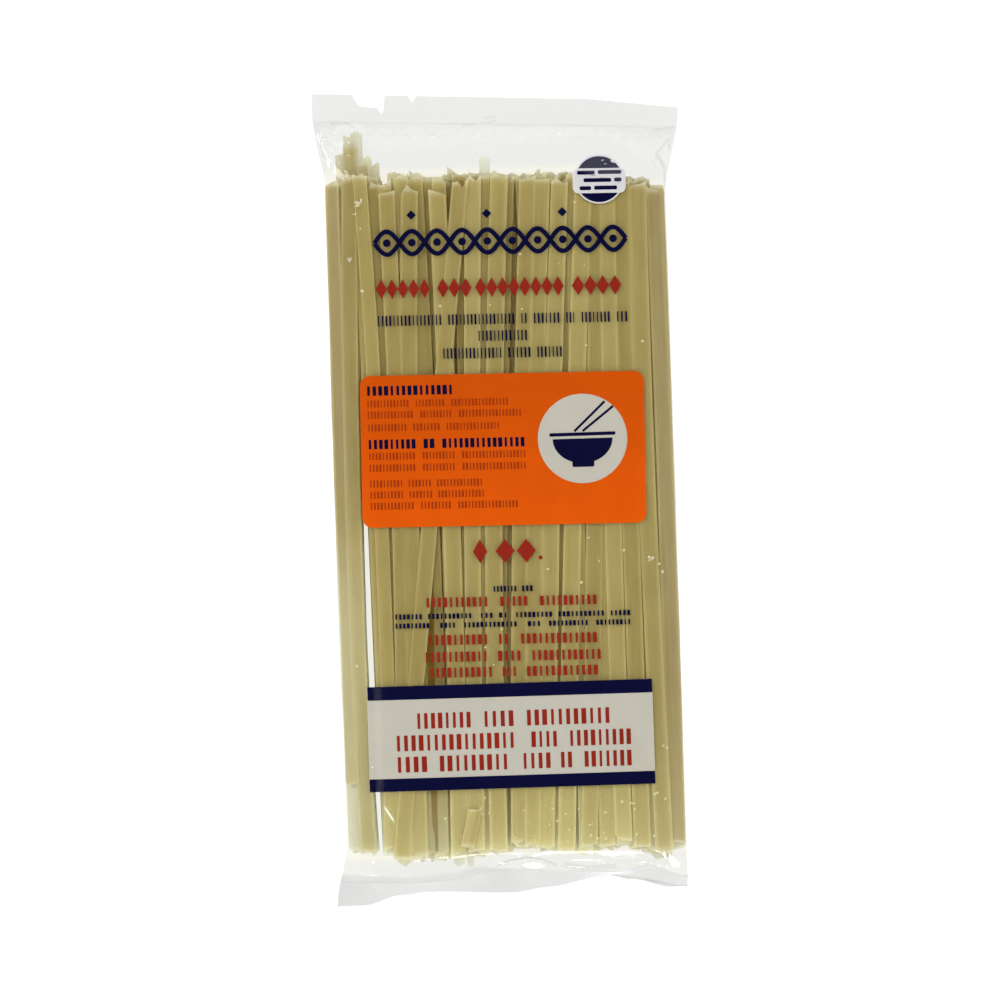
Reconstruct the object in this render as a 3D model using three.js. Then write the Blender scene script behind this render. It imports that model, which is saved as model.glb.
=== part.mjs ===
// A clear sealed pack of flat rice stick noodles, lying on its back with the printed side up.
// Millimetres. +Y points at the pack's top and +Z up. The origin is on the surface that the pack
// lies on, under the middle of its outline.
// The pack is one closed solid: the bundle of sticks with the film drawn round it, the two slopes
// where the film leaves the bundle's ends, and the flat sealed fin at each end.

import * as THREE from 'three';

const { clamp, lerp, smoothstep } = THREE.MathUtils;

// Film
const sealedHalfWidth = 70.4; // the film lies flat at the seals, and is widest there
const halfLength = 156.7;
const finSolid = 1; // thickness that stands for the two welded films
const finDepth = 9.6; // from the seal line to the cut edge
const foldHeight = 8.6; // of the side fold, and of the fins, above the surface below

// Bundle
const leftSide = -66.1;
const rightSide = 64.7;
const bundleHeight = 18.6;
const crownPower = 3.2; // how square the top edges are in section
const bellyPower = 6;
const flatShare = 1.06; // over 1, so that the underside is truly flat inboard of its round edges
const sticksAcross = 24;
const stickWidth = (rightSide - leftSide) / sticksAcross;
const stickRelief = 0.5;

// Ends, as heights on the pack from its middle
const bundleTop = 123;
const bundleTopRight = 115; // the sticks end lower at the right edge
const bundleBottom = -137.6;
const topSeal = 142.8;
const topSealSlope = -0.045; // the head is cut and sealed slightly askew
const topTrim = 153.1;
const topTrimSlope = -0.0505;
const topTrimTurn = 37; // where the trimmed edge starts to fall away to the right corner
const topTrimFall = -0.076;

// Longer sticks at the top left, which lift the film
const tallSticks = { middle: -56.2, halfWidth: 7.5, top: 137.5, height: 0.62 };

// Two nicks in the top fin: a torn bite and a narrow cut
const nicks = [
  { middle: -48.5, halfWidth: 6.4, depth: 5.4, squareness: 2.4 },
  { middle: -31.9, halfWidth: 1.5, depth: 2.7, squareness: 4 },
];

// The bottom fin waves, so its line and its edge are given at the turns of the wave
const bottomSealTurns = [
  [-70.4, -147.1], [-42, -148.6], [-27, -148], [-9, -144.3],
  [15, -146], [38, -146.6], [50, -145], [64, -149.4],
];
const bottomTrimTurns = [
  [-70.4, -156.7], [-60, -156.7], [-45, -153.3], [-34, -152.4],
  [0, -153.5], [13, -152], [38, -148.2], [48, -150], [64, -153.4],
];

// A value carried smoothly from turn to turn
function through(turns, at) {
  const last = turns.length - 1;
  if (at <= turns[0][0]) {
    return turns[0][1];
  }
  if (at >= turns[last][0]) {
    return turns[last][1];
  }
  const next = turns.findIndex((turn) => turn[0] > at);
  const [fromAt, from] = turns[next - 1];
  const [toAt, to] = turns[next];
  return lerp(from, to, smoothstep(at, fromAt, toAt));
}

function topEdge(x) {
  let edge = topTrim + topTrimSlope * x + topTrimFall * Math.max(0, x - topTrimTurn);
  for (const nick of nicks) {
    const away = Math.abs(x - nick.middle) / nick.halfWidth;
    if (away < 1) {
      edge -= nick.depth * Math.pow(1 - Math.pow(away, nick.squareness), 1 / nick.squareness);
    }
  }
  return edge;
}

function topSealLine(x) {
  return topSeal + topSealSlope * x;
}

function bundleTopEnd(x) {
  return lerp(bundleTop, bundleTopRight, smoothstep(x, 28, 62));
}

// The side edges: drawn in along the bundle, widening to the flat film at both seals
function leftEdge(y) {
  const up = smoothstep(y, 116, 149);
  const down = smoothstep(-y, 131, halfLength);
  return lerp(leftSide, -sealedHalfWidth, Math.max(up, down));
}

function rightEdge(y) {
  return lerp(rightSide, sealedHalfWidth, smoothstep(y, 112, 147));
}

// How far the two films stand apart: 1 on the bundle, 0 from the seal lines outwards
function slope(from, to, y) {
  const gone = clamp((y - from) / (to - from), 0, 1);
  return lerp(1 - gone, 0.5 + 0.5 * Math.cos(Math.PI * gone), 0.5);
}

function fill(x, y) {
  const upperEnd = slope(bundleTopEnd(x), topSealLine(x), y);
  const lowerEnd = slope(bundleBottom, through(bottomSealTurns, x), y);
  const away = Math.abs(x - tallSticks.middle) / tallSticks.halfWidth;
  const lifted = away < 1 ? tallSticks.height * (1 - away * away) : 0;
  const tall = y > bundleTop ? lifted * slope(tallSticks.top, topSealLine(x), y) : 0;
  return Math.max(Math.min(upperEnd, lowerEnd), tall);
}

// Height of the line half-way between the films. The bottom fin keeps its depth, so where less of it
// shows from above, it hangs down.
function middleHeight(x, y) {
  if (y > 0) {
    const out = smoothstep(y, bundleTop, halfLength);
    return foldHeight + out * (0.9 * Math.sin(x / 15) - 0.8);
  }
  const sealLine = through(bottomSealTurns, x);
  const edge = through(bottomTrimTurns, x);
  const out = clamp((sealLine - y) / (sealLine - edge), 0, 1);
  const drop = Math.sqrt(Math.max(finDepth ** 2 - (sealLine - edge) ** 2, 0));
  return Math.max(foldHeight - out * drop, 0.5 * finSolid);
}

function roundOff(across, power) {
  return Math.pow(1 - Math.pow(Math.abs(across), power), 1 / power);
}

// 1 along the middle of a stick and 0 where it meets its neighbour
function stickRidge(x) {
  const place = (x - leftSide) / stickWidth;
  return 1 - 2 * Math.abs(place - Math.floor(place) - 0.5);
}

function upperHeight(x, y, across) {
  const middle = middleHeight(x, y) + 0.5 * finSolid;
  const crown = bundleHeight + stickRelief * (stickRidge(x) - 1) - middle;
  return middle + crown * fill(x, y) * roundOff(across, crownPower);
}

function lowerHeight(x, y, across) {
  const middle = middleHeight(x, y) - 0.5 * finSolid;
  const belly = Math.min(1, flatShare * fill(x, y) * roundOff(across, bellyPower));
  return middle * (1 - belly);
}

// Lines across: both sides of every stick, a line close to each side fold, and the nicks' corners
function linesAcross() {
  const lines = [-1, -0.985, 0.985, 1];
  for (let half = 1; half < 2 * sticksAcross; half += 1) {
    lines.push(-1 + half / sticksAcross);
  }
  for (const nick of nicks) {
    for (const corner of [-1, -0.96, 0.96, 1]) {
      lines.push((nick.middle + corner * nick.halfWidth) / sealedHalfWidth);
    }
  }
  return lines.sort((a, b) => a - b);
}

// Lines along, from 0 at the bottom edge to 1 at the top edge, closer together where the form turns
function linesAlong() {
  const stretches = [
    { from: 0, to: 1, steps: 3 }, // bottom fin
    { from: 1, to: 2, steps: 5 }, // lower slope
    { from: 2, to: 3, steps: 12 }, // bundle
    { from: 3, to: 4, steps: 7 }, // upper slope
    { from: 4, to: 5, steps: 4 }, // top fin
  ];
  const lines = [0];
  for (const { from, to, steps } of stretches) {
    for (let step = 1; step <= steps; step += 1) {
      lines.push(lerp(from, to, step / steps));
    }
  }
  return lines;
}

// Height on the pack of a line along: each whole number is one of its boundaries
function heightOnPack(x, line) {
  const boundaries = [
    through(bottomTrimTurns, x),
    through(bottomSealTurns, x),
    bundleBottom,
    bundleTopEnd(x),
    topSealLine(x),
    topEdge(x),
  ];
  const below = Math.min(Math.floor(line), boundaries.length - 2);
  return lerp(boundaries[below], boundaries[below + 1], line - below);
}

// The upper and lower film meet all round the outline, so the skin is closed
function packGeometry() {
  const across = linesAcross();
  const along = linesAlong();
  const positions = [];
  const upper = [];
  const lower = [];
  for (const line of along) {
    for (const share of across) {
      const flatX = share * sealedHalfWidth;
      const y = heightOnPack(flatX, line);
      const x = lerp(leftEdge(y), rightEdge(y), (share + 1) / 2);
      const atRim = Math.abs(share) === 1 || line === 0 || line === 5;
      upper.push(positions.length / 3);
      if (atRim) {
        positions.push(x, y, middleHeight(x, y));
        lower.push(upper[upper.length - 1]);
      } else {
        positions.push(x, y, upperHeight(x, y, share));
        lower.push(positions.length / 3);
        positions.push(x, y, lowerHeight(x, y, share));
      }
    }
  }
  const indices = [];
  const columns = across.length;
  for (let row = 0; row < along.length - 1; row += 1) {
    for (let column = 0; column < columns - 1; column += 1) {
      const a = row * columns + column;
      const [b, c, d] = [a + 1, a + columns + 1, a + columns];
      indices.push(upper[a], upper[b], upper[c], upper[a], upper[c], upper[d]);
      indices.push(lower[a], lower[c], lower[b], lower[a], lower[d], lower[c]);
    }
  }
  const geometry = new THREE.BufferGeometry();
  geometry.setAttribute('position', new THREE.Float32BufferAttribute(positions, 3));
  geometry.setIndex(indices);
  geometry.computeBoundingBox();
  const middle = geometry.boundingBox.getCenter(new THREE.Vector3());
  geometry.translate(-middle.x, -middle.y, -geometry.boundingBox.min.z);
  geometry.computeVertexNormals();
  return geometry;
}

const riceStick = new THREE.MeshStandardMaterial({
  color: '#b9ad7d',
  roughness: 0.45,
  metalness: 0,
});

const filledBag = new THREE.Mesh(packGeometry(), riceStick);
filledBag.name = 'filled_bag';

const pack = new THREE.Group();
pack.add(filledBag);

export default pack;
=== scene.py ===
import math

import bpy
import numpy as np
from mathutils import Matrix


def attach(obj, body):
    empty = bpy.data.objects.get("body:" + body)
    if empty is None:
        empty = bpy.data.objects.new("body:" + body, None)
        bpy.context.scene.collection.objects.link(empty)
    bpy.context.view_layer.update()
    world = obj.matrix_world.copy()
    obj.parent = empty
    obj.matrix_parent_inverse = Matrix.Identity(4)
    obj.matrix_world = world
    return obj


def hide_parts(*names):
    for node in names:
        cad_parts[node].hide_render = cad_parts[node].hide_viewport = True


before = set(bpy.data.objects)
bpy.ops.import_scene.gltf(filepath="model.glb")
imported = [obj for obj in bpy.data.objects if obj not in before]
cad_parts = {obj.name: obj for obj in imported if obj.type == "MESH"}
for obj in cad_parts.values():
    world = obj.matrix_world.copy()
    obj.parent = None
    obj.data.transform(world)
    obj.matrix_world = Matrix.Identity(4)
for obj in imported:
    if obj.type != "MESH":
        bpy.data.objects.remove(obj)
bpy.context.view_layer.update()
mm = 0.001


def linear(hexColour):
    # sRGB hex to linear light
    channels = [int(hexColour[i:i + 2], 16) / 255 for i in (1, 3, 5)]
    return [c / 12.92 if c <= 0.04045 else ((c + 0.055) / 1.055) ** 2.4 for c in channels]


def blendTo(a, b, share):
    # straight from a, at share 0, to b, at share 1
    return a + (b - a) * share


def ease(value, start, end):
    # 0 before start and 1 after end, with a smooth step between
    t = np.clip((value - start) / (end - start), 0, 1)
    return t * t * (3 - 2 * t)


def through(turns, at):
    # a value carried smoothly from one turn (place, value) to the next
    places, values = np.array(turns, float).T
    step = np.clip(np.searchsorted(places, at) - 1, 0, len(places) - 2)
    return blendTo(values[step], values[step + 1], ease(at, places[step], places[step + 1]))


def addNode(tree, kind, settings=None, links=None):
    # one node with its settings; a link's value is a plain value or another node's output
    node = tree.nodes.new(kind)
    for name, value in (settings or {}).items():
        setattr(node, name, value)
    for socket, value in (links or {}).items():
        if isinstance(value, bpy.types.NodeSocket):
            tree.links.new(value, node.inputs[socket])
        else:
            node.inputs[socket].default_value = value
    return node


def newMaterial(name):
    # a material whose node tree is empty
    material = bpy.data.materials.new(name)
    material.use_nodes = True
    material.node_tree.nodes.clear()
    return material, material.node_tree


def colour(hexColour):
    # the four values that a colour socket takes
    return (*linear(hexColour), 1)


def makePiece(name, points, faces, material, attributes=None, flatFaces=(), flat=False):
    # points in millimetres, faces as an array of four corners each, flatFaces of any count
    mesh = bpy.data.meshes.new(name)
    allFaces = faces.tolist() + [list(face) for face in flatFaces]
    mesh.from_pydata((points * mm).tolist(), [], allFaces)
    for label, values in (attributes or {}).items():
        kind, part = ("FLOAT_VECTOR", "vector") if values.ndim == 2 else ("FLOAT", "value")
        field = mesh.attributes.new(label, kind, "POINT")
        field.data.foreach_set(part, np.ascontiguousarray(values, np.float32).ravel())
    smooth = (np.arange(len(mesh.polygons)) < len(faces)) & (not flat)
    mesh.polygons.foreach_set("use_smooth", smooth)
    mesh.materials.append(material)
    mesh.update()
    piece = bpy.data.objects.new(name, mesh)
    bpy.context.scene.collection.objects.link(piece)
    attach(piece, "root")
    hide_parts("filled_bag")
    return piece


def gridFaces(rows, columns, closedRows=False):
    # the four corners of every cell of a grid of points, row by row
    row, column = np.meshgrid(np.arange(rows - 1), np.arange(columns - (not closedRows)),
                              indexing="ij")
    across = (column + 1) % columns
    corners = [row * columns + column, row * columns + across,
               (row + 1) * columns + across, (row + 1) * columns + column]
    return np.stack(corners, -1).reshape(-1, 4)


# the pack's form: two films that meet all round the outline
form = {
    "sealedHalfWidth": 70.4,
    "leftSide": -66.1,
    "rightSide": 64.7,
    "halfLength": 156.7,
    "bundleHeight": 18.6,
    "foldHeight": 8.6,      # of the side folds and fins above the floor
    "finDepth": 9.6,
    "crownPower": 3.2,
    "bellyPower": 6,
    "flatShare": 1.06,      # over 1, so that the underside is truly flat inside its round edges
    "leastHeight": 0.5,     # of the fins above the floor
    "headWave": (0.9, 15, 0.8),     # of the upper fin: height, length / 2 pi, drop
    "bundleTop": 123,
    "bundleTopRight": 115,
    "topStep": (28, 62),    # x from and to which the bundle's top steps down
    # how far from the middle the sides start to widen and are flat: left head and foot, right head
    "leftWidens": ((116, 149), (131, 156.7)),
    "rightWidens": (112, 147),
    "bundleBottom": -137.6,
    "topSeal": 142.8,
    "topSealSlope": -0.045,
    "topTrim": 153.1,
    "topTrimSlope": -0.0505,
    "topTrimTurn": 37,
    "topTrimFall": -0.076,
    "tallMiddle": -56.2,    # longer sticks at the top left, which lift the film
    "tallHalfWidth": 7.5,
    "tallTop": 137.5,
    "tallLift": 0.62,
    "bottomSeal": [(-70.4, -147.1), (-42, -148.6), (-27, -148), (-9, -144.3),
                   (15, -146), (38, -146.6), (50, -145), (64, -149.4)],
    "bottomTrim": [(-70.4, -156.7), (-60, -156.7), (-45, -153.3), (-34, -152.4), (0, -153.5),
                   (13, -152), (38, -148.2), (48, -150), (64, -153.4)],
    # two tears in the top edge: x and depth along each
    "bite": [(-54.7, 0), (-54.0, 1.9), (-53.0, 3.3), (-51.7, 4.6), (-48.5, 4.8), (-45.2, 4.8),
             (-44.1, 7.3), (-42.9, 6.4), (-42.3, 0)],
    "nick": [(-33.1, 0), (-32.7, 1.6), (-31.8, 2.8), (-30.9, 1.4), (-30.3, 0)],
}


def topEdge(x):
    # a straight slope, a second one from its turn to the right, less the depth of the tears
    edge = form["topTrim"] + form["topTrimSlope"] * x
    edge = edge + form["topTrimFall"] * np.maximum(0, x - form["topTrimTurn"])
    for tear in (form["bite"], form["nick"]):
        edge = edge - np.interp(x, *np.array(tear, float).T)
    return edge


def topSealLine(x):
    # a straight line, slightly askew
    return form["topSeal"] + form["topSealSlope"] * x


def bundleTopEnd(x):
    # level, with a smooth step down at the right
    return blendTo(form["bundleTop"], form["bundleTopRight"], ease(x, *form["topStep"]))


def leftEdge(y):
    # the bundle's side, with a smooth step out to the flat film at both seals
    head, foot = form["leftWidens"]
    flat = np.maximum(ease(y, *head), ease(-y, *foot))
    return blendTo(form["leftSide"], -form["sealedHalfWidth"], flat)


def rightEdge(y):
    # the bundle's side, with a smooth step out at the upper seal
    return blendTo(form["rightSide"], form["sealedHalfWidth"], ease(y, *form["rightWidens"]))


def endSlope(start, end, y):
    # from 1 at start to 0 at end: the mean of a straight fall and a half wave
    gone = np.clip((y - start) / (end - start), 0, 1)
    return blendTo(1 - gone, 0.5 + 0.5 * np.cos(np.pi * gone), 0.5)


def filmApart(x, y):
    # how far the two films stand apart: 1 along the bundle, 0 from the seals outwards
    upper = endSlope(bundleTopEnd(x), topSealLine(x), y)
    lower = endSlope(form["bundleBottom"], through(form["bottomSeal"], x), y)
    away = np.minimum(np.abs(x - form["tallMiddle"]) / form["tallHalfWidth"], 1)
    lifted = form["tallLift"] * (1 - away ** 2) * endSlope(form["tallTop"], topSealLine(x), y)
    return np.maximum(np.minimum(upper, lower), np.where(y > form["bundleTop"], lifted, 0))


def middleHeight(x, y):
    # half-way between the films; where less of the bottom fin shows from above, it hangs down
    out = ease(y, form["bundleTop"], form["halfLength"])
    wave, length, drop = form["headWave"]
    head = form["foldHeight"] + out * (wave * np.sin(x / length) - drop)
    seal, trim = through(form["bottomSeal"], x), through(form["bottomTrim"], x)
    drop = np.sqrt(np.maximum(form["finDepth"] ** 2 - (seal - trim) ** 2, 0))
    foot = form["foldHeight"] - np.clip((seal - y) / (seal - trim), 0, 1) * drop
    return np.where(y > 0, head, np.maximum(foot, form["leastHeight"]))


def acrossShare(x, y):
    # -1 at the left edge and 1 at the right edge
    left, right = leftEdge(y), rightEdge(y)
    return np.clip(2 * (x - left) / (right - left) - 1, -1, 1)


def roundOff(share, power):
    # a superellipse: 1 in the middle and 0 at both edges
    return (1 - np.abs(share) ** power) ** (1 / power)


def upperForm(x, y):
    # the middle height plus the rounded crown, as far as the films stand apart
    middle = middleHeight(x, y)
    crown = form["bundleHeight"] - middle
    return middle + crown * filmApart(x, y) * roundOff(acrossShare(x, y), form["crownPower"])


def lowerForm(x, y):
    # the middle height drawn down to the floor, and cut off there, so that the underside is flat
    belly = form["flatShare"] * filmApart(x, y) * roundOff(acrossShare(x, y), form["bellyPower"])
    return middleHeight(x, y) * (1 - np.minimum(belly, 1))


# creases and sags of the film, on top of its form
creasing = {
    "sagDepth": 0.08,        # the film dips between the sticks
    "sagPitch": 5.45,
    "sagWander": [(1.1, 71, 19), (0.7, 33, -27)],   # mm, and wave lengths / 2 pi along and across
    "sagPatches": (8.7, 47, 31),
    "endCrease": (0.9, 0.7),    # height of the folds from the bundle's ends to the seals
    "finRipple": 0.35,
    "seed": 11,
    "foldPitch": (9, 11),       # mm between folds; each pair is the upper and the lower film
    # where they start and are full, as how far the films have come together
    "foldEase": ((0.02, 0.4), (0.05, 0.5)),
    "foldEnd": 0.12,            # how far apart the films are where they start to fade out
    "ripplePitch": 16,
    # over the slit between the sticks the film hangs in a little: x, half width, depth, below y
    "slitDip": (-54.4, 3.4, 0.6, -20),
    "calmFoot": 0.7,            # how much of the folds is missing at the lower left
    # loose bulges between the stick ends and the bottom seal: x, half width, height
    "bulges": [(8, 10, 1.1), (42, 15, 1.5)],
    "bulgeLine": (-142.5, 2.6),     # their y and half depth
    # small swellings: x, y, radius, height
    "swellings": [(-37.9, 142.8, 2.0, 0.5), (-65.7, 139.1, 2.4, 0.6),
                  (-32.2, 151.0, 1.6, 0.4), (5.0, -142.4, 4.2, 1.3), (-1.5, -142.0, 3.0, 0.9),
                  (30.0, -144.5, 2.6, 0.8), (50.5, -144.0, 2.4, 0.7)],
    # folds that stand up along a line of points: half width, height, points
    "ridges": [(0.7, 0.5, [(18.3, -144.1), (24.1, -145.0), (29.4, -145.4), (35.7, -143.1),
                           (41.1, -141.0), (45.8, -141.1), (50.5, -145.1), (53.2, -149.1)]),
               (0.6, 0.4, [(11.1, -141.9), (15.6, -143.6), (21.3, -145.7)]),
               (0.7, 0.4, [(39.0, -147.5), (49.4, -147.0), (53.2, -149.1)]),
               (0.9, 0.6, [(-7.5, -142.9), (-2.8, -141.1), (4.2, -140.5), (9.9, -142.7)]),
               (0.8, 0.5, [(66.9, 135.3), (61.7, 129.3), (64.8, 124.2)])],
    # flats in the lower slope, which mirror the foot lamp: x, y, half sizes, rise along x and y
    "flats": [(5.5, -142.6, 7.0, 2.1, -0.06, 0.74), (-6.6, -141.9, 3.0, 0.9, -0.07, 0.73),
              (26.0, -141.6, 7.5, 0.8, -0.05, 0.74), (41.5, -139.4, 9.0, 0.9, -0.05, 0.74),
              (34.5, -142.6, 2.2, 0.7, -0.05, 0.74), (47.5, -143.2, 3.4, 0.8, -0.05, 0.74)],
    # sharp creases, where the film has turned a little milky and is painted with the grey shade of
    # the fold: half width, strength, points
    "creases": [(0.4, 0.4, [(66.9, 135.3), (61.7, 129.3), (64.8, 124.2)]),
                (0.4, 0.3, [(66.9, 135.3), (66.9, 131.7)]),
                (0.35, 0.35, [(64.6, 123.7), (64.5, 116.7)]),
                (0.4, 0.3, [(-69.6, 145.0), (-68.1, 139.9), (-66.7, 132.6)]),
                (0.35, 0.25, [(-68.1, 139.9), (-64.7, 139.8)]),
                (0.4, 0.55, [(-62.9, 145.0), (-56.5, 144.8), (-54.8, 143.7)]),
                (0.35, 0.3, [(-12.8, 142.6), (-7.8, 143.4)]),
                (0.35, 0.35, [(-5.5, 143.1), (0.7, 144.2)]),
                (0.35, 0.3, [(-4.6, 145.2), (-0.4, 145.8)]),
                (0.4, 0.5, [(60.9, 138.6), (68.4, 139.3)]),
                (0.4, 0.45, [(-2.7, -145.7), (3.2, -145.7), (8.6, -145.3)]),
                (0.5, 0.6, [(22.8, -148.5), (27.8, -148.4), (33.2, -147.6)]),
                (0.4, 0.5, [(45.5, -149.6), (55.4, -151.6), (64.5, -153.3)]),
                (0.9, 0.4, [(18.0, -143.6), (27.0, -145.2), (36.0, -144.6)]),
                (0.4, 0.5, [(-8.5, -143.4), (-4.0, -141.3), (3.0, -140.3), (9.0, -141.2),
                            (14.0, -143.4)])],
}


def crumple(x, y, across, along, count, seed):
    # sharp folds: waves that run mostly along the pack, each turned to a thin ridge
    rng = np.random.default_rng(seed)
    total = 0
    for _ in range(count):
        pitch = across * rng.uniform(0.6, 1.6)
        lean = rng.normal(0, along)
        phase = rng.uniform(0, 2 * np.pi)
        wave = np.sin(2 * np.pi * (x + lean * y) / pitch + phase)
        total = total + (1 - np.abs(wave)) ** 2 - 0.35
    return total / count


def nearLine(x, y, halfWidth, points):
    # 1 on a line through the given points, falling to 0 to both sides like a bell
    nearest = 1e6
    for (x0, y0), (x1, y1) in zip(points[:-1], points[1:]):
        share = ((x - x0) * (x1 - x0) + (y - y0) * (y1 - y0)) / ((x1 - x0) ** 2 + (y1 - y0) ** 2)
        share = np.clip(share, 0, 1)
        away = np.hypot(x - blendTo(x0, x1, share), y - blendTo(y0, y1, share))
        nearest = np.minimum(nearest, away)
    return np.exp(-(nearest / halfWidth) ** 2)


def filmSag(x, y):
    # Shallow troughs between sticks: a cosine across the pack, narrowed by its third power. They
    # wander a little along the pack and are deeper in some patches.
    wander = sum(size * np.sin(y / along + x / across)
                 for size, along, across in creasing["sagWander"])
    trough = np.abs(np.cos(np.pi * (x + wander) / creasing["sagPitch"])) ** 3
    first, along, across = creasing["sagPatches"]
    patch = 0.5 + 0.5 * np.sin(x / first + 1.3) * np.sin(y / along + x / across)
    return creasing["sagDepth"] * (0.25 + 0.75 * patch) * trough


def filmTop(x, y):
    # The form, less its sags, plus folds on the end slopes, ripple on the fins and all that is
    # raised. Last, each flat is laid in: a tilted plane that fades out at its sides.
    apart = filmApart(x, y)
    rim = roundOff(acrossShare(x, y), 6)
    slope = ease(1 - apart, *creasing["foldEase"][0]) * ease(apart, 0, creasing["foldEnd"])
    onFin = 1 - ease(apart, 0, 0.05)
    folds = crumple(x, y, creasing["foldPitch"][0], 0.5, 5, creasing["seed"])
    ripple = crumple(x, y, creasing["ripplePitch"], 0.8, 4, creasing["seed"] + 1)
    height = upperForm(x, y) - filmSag(x, y) * ease(apart, 0.8, 1) * rim
    middle, halfWidth, depth, below = creasing["slitDip"]
    height = height - depth * np.exp(-((x - middle) / halfWidth) ** 2) * ease(below - y, 0, 40)
    calm = 1 - creasing["calmFoot"] * ease(-y, 110, 130) * ease(-x, 5, 25)
    height = height + rim * (slope * calm * creasing["endCrease"][0] * folds
                             + onFin * creasing["finRipple"] * ripple + raised(x, y))
    for x0, y0, halfWide, halfHigh, riseX, riseY in creasing["flats"]:
        level = upperForm(x0, y0) + riseX * (x - x0) + riseY * (y - y0) + 0.35
        near = ((x - x0) / halfWide) ** 2 + ((y - y0) / halfHigh) ** 2
        height = blendTo(height, level, np.exp(-near ** 2))
    return height


def raised(x, y):
    # the sum of bells: over a line for each bulge, round a point for each swelling, and along
    # the points of each ridge
    total = 0
    lineY, halfDepth = creasing["bulgeLine"]
    along = ((y - lineY) / halfDepth) ** 2
    for middle, halfWidth, height in creasing["bulges"]:
        total = total + height * np.exp(-((x - middle) / halfWidth) ** 2 - along)
    for x0, y0, radius, height in creasing["swellings"]:
        total = total + height * np.exp(-((x - x0) ** 2 + (y - y0) ** 2) / radius ** 2)
    for halfWidth, height, points in creasing["ridges"]:
        total = total + height * nearLine(x, y, halfWidth, points)
    return total


def filmUnder(x, y):
    # the lower form plus folds on the end slopes and the fins' ripple, never below the floor
    apart = filmApart(x, y)
    rim = roundOff(acrossShare(x, y), 6)
    slope = ease(1 - apart, *creasing["foldEase"][1]) * ease(apart, 0, creasing["foldEnd"])
    onFin = 1 - ease(apart, 0, 0.05)
    folds = crumple(x, y, creasing["foldPitch"][1], 0.5, 4, creasing["seed"] + 2)
    ripple = crumple(x, y, creasing["ripplePitch"], 0.8, 4, creasing["seed"] + 1)
    height = lowerForm(x, y) + rim * (slope * creasing["endCrease"][1] * folds
                                      + onFin * creasing["finRipple"] * ripple)
    return np.maximum(height, 0)


filmBag = {
    "columns": 200,
    "rows": (24, 34, 60, 46, 28),   # bottom fin, lower slope, bundle, upper slope, top fin
    "drawnOut": 0.6,                # how much closer the columns stand at the side folds
    "weldGap": 0.12,                # between the two films in the fins
    "clearColour": "#f8f7f1",       # what one film lets through where it is tight
    "slackColour": "#e9ebf0",       # and where it is slack
    "footColour": "#eaeae9",        # and in the fin at the foot
    "slack": (0.3, 0.42),           # how far it is slack at the foot and at the head
    "hazeColour": "#cfd0d0",
    "sealHaze": (0.26, 0.42),       # how milky the seal lines are at the head and at the foot
    "weldHaze": 0.02,
    "mostHaze": 0.6,
    "sealLines": (0.35, 0.3, 0.4),  # half widths of both lines at the head and the foot's one
    "secondLine": (4.6, 0.25),      # below the head's first line, and its strength
    "dashes": (5.1, 13.7),          # wave lengths / 2 pi of the breaks in the head's line
    "earlyWeld": 2.5,               # how much earlier the weld starts at the lower left
    "crinkle": 6.25,                # mm between the finest crinkles
    "crinkleHeight": 0.6,           # mm
    "crinkleStrength": 0.35,
    "straightGloss": 0.03,
    "roughness": 0.05,
    "weldRoughness": 0.55,          # the heated fins are dull
}
filmFields = ("hazeAndCreaseShade", "weld", "slack", "foot")      # what the film's points carry, each 0 to 1


def castFilm():
    # Cast polypropylene film: nearly clear, with a sharp gloss, greyer where it is welded or
    # creased because the plastic is stretched there; along the creases the grey is also painted
    # shade.
    material, tree = newMaterial("cast polypropylene film")
    place = addNode(tree, "ShaderNodeTexCoord").outputs["Object"]
    fine = addNode(tree, "ShaderNodeTexNoise", links={
        "Vector": place, "Scale": 1 / (filmBag["crinkle"] * mm), "Detail": 3})
    bump = addNode(tree, "ShaderNodeBump", links={
        "Height": fine.outputs["Fac"], "Strength": filmBag["crinkleStrength"],
        "Distance": filmBag["crinkleHeight"] * mm})
    hazeAndCreaseShade, weld, slack, foot = [
        addNode(tree, "ShaderNodeAttribute", {"attribute_name": field}).outputs["Fac"]
        for field in filmFields]
    tint = colour(filmBag["clearColour"])
    for share, name in ((slack, "slackColour"), (foot, "footColour")):
        tint = addNode(tree, "ShaderNodeMix", {"data_type": "RGBA"}, {
            0: share, 6: tint, 7: colour(filmBag[name])}).outputs[2]
    clear = addNode(tree, "ShaderNodeBsdfTransparent", links={"Color": tint})
    roughness = addNode(tree, "ShaderNodeMapRange", links={
        0: weld, 1: 0.0, 2: 1.0, 3: filmBag["roughness"], 4: filmBag["weldRoughness"]})
    gloss = addNode(tree, "ShaderNodeBsdfGlossy", links={
        "Color": (1, 1, 1, 1), "Roughness": roughness.outputs[0], "Normal": bump.outputs[0]})
    # the share mirrored, alike from both sides: 3% straight on and all of it at a grazing angle
    facing = addNode(tree, "ShaderNodeLayerWeight", links={"Blend": 0.5, "Normal": bump.outputs[0]})
    grazing = addNode(tree, "ShaderNodeMath", {"operation": "POWER"}, {
        0: facing.outputs["Facing"], 1: 5})
    mirrored = addNode(tree, "ShaderNodeMath", {"operation": "MULTIPLY_ADD"}, {
        0: grazing.outputs[0], 1: 1 - filmBag["straightGloss"], 2: filmBag["straightGloss"]})
    skin = addNode(tree, "ShaderNodeMixShader", links={
        0: mirrored.outputs[0], 1: clear.outputs[0], 2: gloss.outputs[0]})
    milky = addNode(tree, "ShaderNodeBsdfDiffuse", links={"Color": colour(filmBag["hazeColour"])})
    whole = addNode(tree, "ShaderNodeMixShader", links={
        0: hazeAndCreaseShade, 1: skin.outputs[0], 2: milky.outputs[0]})
    addNode(tree, "ShaderNodeOutputMaterial", links={"Surface": whole.outputs[0]})
    return material


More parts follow.
